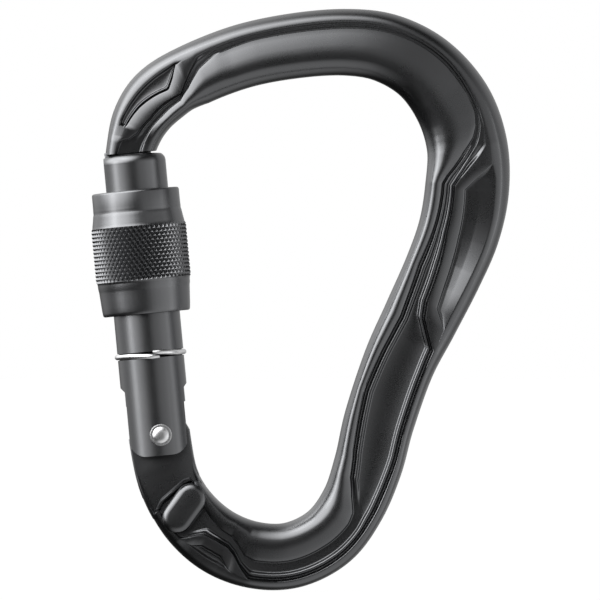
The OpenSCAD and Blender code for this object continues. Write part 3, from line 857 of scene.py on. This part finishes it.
low_loop = trim(sleeve_mesh, KNURL_LOW + 0.2, True)
high_loop = trim(sleeve_mesh, KNURL_LOW + KNURL_TALL - 0.2, False)
BORE, END = 6.38, 8.3
top = SLEEVE_LENGTH
shoulder = KNURL_LOW + KNURL_TALL
upper = [(8.86, shoulder), (8.8, shoulder + 0.12), (8.74, shoulder + 0.5), (8.6, shoulder + 1.3),
         (8.48, shoulder + 2), (8.42, top - 4.3), (8.36, top - 4.1), (8.31, top - 3.9),
         (8.33, top - 3.6), (8.32, top - 3.2), (END, top - 2.8), (END, top - 0.4),
         (END - 0.06, top - 0.2), (END - 0.2, top - 0.06), (END - 0.4, top), (BORE + 0.5, top),
         (BORE + 0.15, top - 0.1), (BORE, top - 0.35)]
lower = [(8.9, KNURL_LOW), (8.82, KNURL_LOW - 0.12), (8.78, KNURL_LOW - 0.5),
         (8.75, KNURL_LOW - 1.2), (8.66, KNURL_LOW - 1.6), (8.62, KNURL_LOW - 2),
         (8.54, KNURL_LOW - 3.2), (8.42, 1.6), (8.34, 0.7), (END - 0.02, 0.3),
         (END - 0.14, 0.09), (END - 0.4, 0), (BORE + 0.5, 0), (BORE + 0.15, 0.1), (BORE, 0.35)]
high_edge = draw_round(sleeve_mesh, high_loop, upper)
low_edge = draw_round(sleeve_mesh, low_loop, lower)
bmesh.ops.bridge_loops(sleeve_mesh, edges=high_edge + low_edge)
bmesh.ops.translate(sleeve_mesh, verts=sleeve_mesh.verts, vec=(0, 0, SLEEVE_LOW))
bmesh.ops.transform(sleeve_mesh, matrix=to_gate, verts=sleeve_mesh.verts)
finish_piece(sleeve_mesh, "knurled_sleeve", "sleeve", sleeve_finish, ["screw_sleeve"])

# %% [markdown]
# ## The studio
# Black metal shows its surroundings more than itself, so the room matters more than the lamps.
# A few soft glows stand for its walls, the brightest above and to the left, and the room in
# front stays dark, which keeps the faces turned to the camera deep. Three soft panels add the
# crisper highlights. The floor looks pale but is left out of reflections, where it would fog
# the lower faces.

# %% Floor, backdrop and panels of light
scene = bpy.context.scene
scene.view_settings.view_transform = "Standard"
low, high = (Vector(corner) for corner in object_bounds())
centre = (low + high) / 2

floor_mesh = bmesh.new()
bmesh.ops.create_circle(floor_mesh, cap_ends=True, segments=96, radius=4)
bmesh.ops.translate(floor_mesh, verts=floor_mesh.verts, vec=(0, 0, low.z - 0.0002))
floor_data = bpy.data.meshes.new("studio_floor")
floor_mesh.to_mesh(floor_data)
floor_mesh.free()
floor = bpy.data.objects.new("studio_floor", floor_data)
scene.collection.objects.link(floor)
floor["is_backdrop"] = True
floor.visible_glossy = False

floor_material = bpy.data.materials.new("pale_floor")
floor_material.use_nodes = True
tree = floor_material.node_tree
paper = tree.nodes["Principled BSDF"]
paper.inputs["Base Color"].default_value = (0.08, 0.08, 0.08, 1)
paper.inputs["Roughness"].default_value = 0.9
glow = tree.nodes.new("ShaderNodeEmission")
glow.inputs["Strength"].default_value = 1.1
seen = tree.nodes.new("ShaderNodeLightPath")
share = tree.nodes.new("ShaderNodeMath")
share.operation = "MULTIPLY"
share.inputs[1].default_value = 0.9
mixed = tree.nodes.new("ShaderNodeMixShader")
tree.links.new(seen.outputs["Is Camera Ray"], share.inputs[0])
tree.links.new(share.outputs[0], mixed.inputs[0])
tree.links.new(paper.outputs[0], mixed.inputs[1])
tree.links.new(glow.outputs[0], mixed.inputs[2])
tree.links.new(mixed.outputs[0], tree.nodes["Material Output"].inputs[0])
floor.data.materials.append(floor_material)

world = bpy.data.worlds.new("studio")
scene.world = world
world.use_nodes = True
tree = world.node_tree
air = tree.nodes["Background"]
air.inputs["Color"].default_value = (1, 1, 1, 1)
place = Value(tree, tree.nodes.new("ShaderNodeTexCoord").outputs["Generated"])


def tent(direction, start, end, radiance):
    """A soft glow of the room's walls round one direction."""
    facing = tree.nodes.new("ShaderNodeVectorMath")
    facing.operation = "DOT_PRODUCT"
    tree.links.new(place.socket, facing.inputs[0])
    facing.inputs[1].default_value = Vector(direction).normalized()
    spread = tree.nodes.new("ShaderNodeMapRange")
    spread.interpolation_type = "SMOOTHSTEP"
    tree.links.new(facing.outputs["Value"], spread.inputs["Value"])
    for name, number in (("From Min", start), ("From Max", end), ("To Max", radiance)):
        spread.inputs[name].default_value = number
    return Value(tree, spread.outputs[0])


room = (tent((-0.66, -0.38, 0.68), 0.52, 0.93, 4.3) + tent((0.6, -0.8, 0.1), 0.82, 0.97, 0.5)
        + tent((1, 0, 0.1), 0.6, 1, 0.5) + tent((0.5, -0.2, -0.8), 0.3, 0.9, 0.8)
        + tent((-0.75, 0.45, 0.5), 0.6, 0.98, 1.3) + tent((0.4, 0.9, 0.4), 0.55, 1, 0.6) + 0.02)
tree.links.new(room.socket, air.inputs["Strength"])
white = tree.nodes.new("ShaderNodeBackground")
white.inputs["Color"].default_value = (1, 1, 1, 1)
seen = tree.nodes.new("ShaderNodeLightPath")
mixed = tree.nodes.new("ShaderNodeMixShader")
tree.links.new(seen.outputs["Is Camera Ray"], mixed.inputs[0])
tree.links.new(air.outputs[0], mixed.inputs[1])
tree.links.new(white.outputs[0], mixed.inputs[2])
tree.links.new(mixed.outputs[0], tree.nodes["World Output"].inputs[0])


def panel(name, place, width, tall, radiance):
    """A soft rectangular light that faces the object; radiance is how bright it looks."""
    light = bpy.data.lights.new(name, "AREA")
    light.shape = "RECTANGLE"
    light.size, light.size_y = width, tall
    light.energy = radiance * math.pi * width * tall
    lamp = bpy.data.objects.new(name, light)
    lamp.location = centre + Vector(place)
    lamp.rotation_euler = (-Vector(place)).to_track_quat("-Z", "Y").to_euler()
    scene.collection.objects.link(lamp)


panel("top_panel", (-0.45, -0.35, 0.8), 0.4, 0.3, 2)
panel("left_panel", (-0.85, -0.4, 0.15), 0.25, 0.6, 2.5)
panel("right_panel", (0.85, -0.25, 0), 0.2, 0.7, 0.8)
print("studio ready")

# %% [markdown]
# ## The camera
# A long lens from a metre and a half away keeps the sides of the gate parallel, as in a
# catalogue picture.

# %% Camera
camera_data = bpy.data.cameras.new("camera")
camera = bpy.data.objects.new("camera", camera_data)
scene.collection.objects.link(camera)
scene.camera = camera
DISTANCE, FRAME_WIDTH = 1.5, 0.114
camera_data.sensor_width = 36
camera_data.lens = 36 * DISTANCE / FRAME_WIDTH
camera_data.clip_end = 20
camera.location = (-0.0053, -DISTANCE, -0.04266)
camera.rotation_euler = (math.pi / 2, 0, 0)
print("camera at", tuple(camera.location))
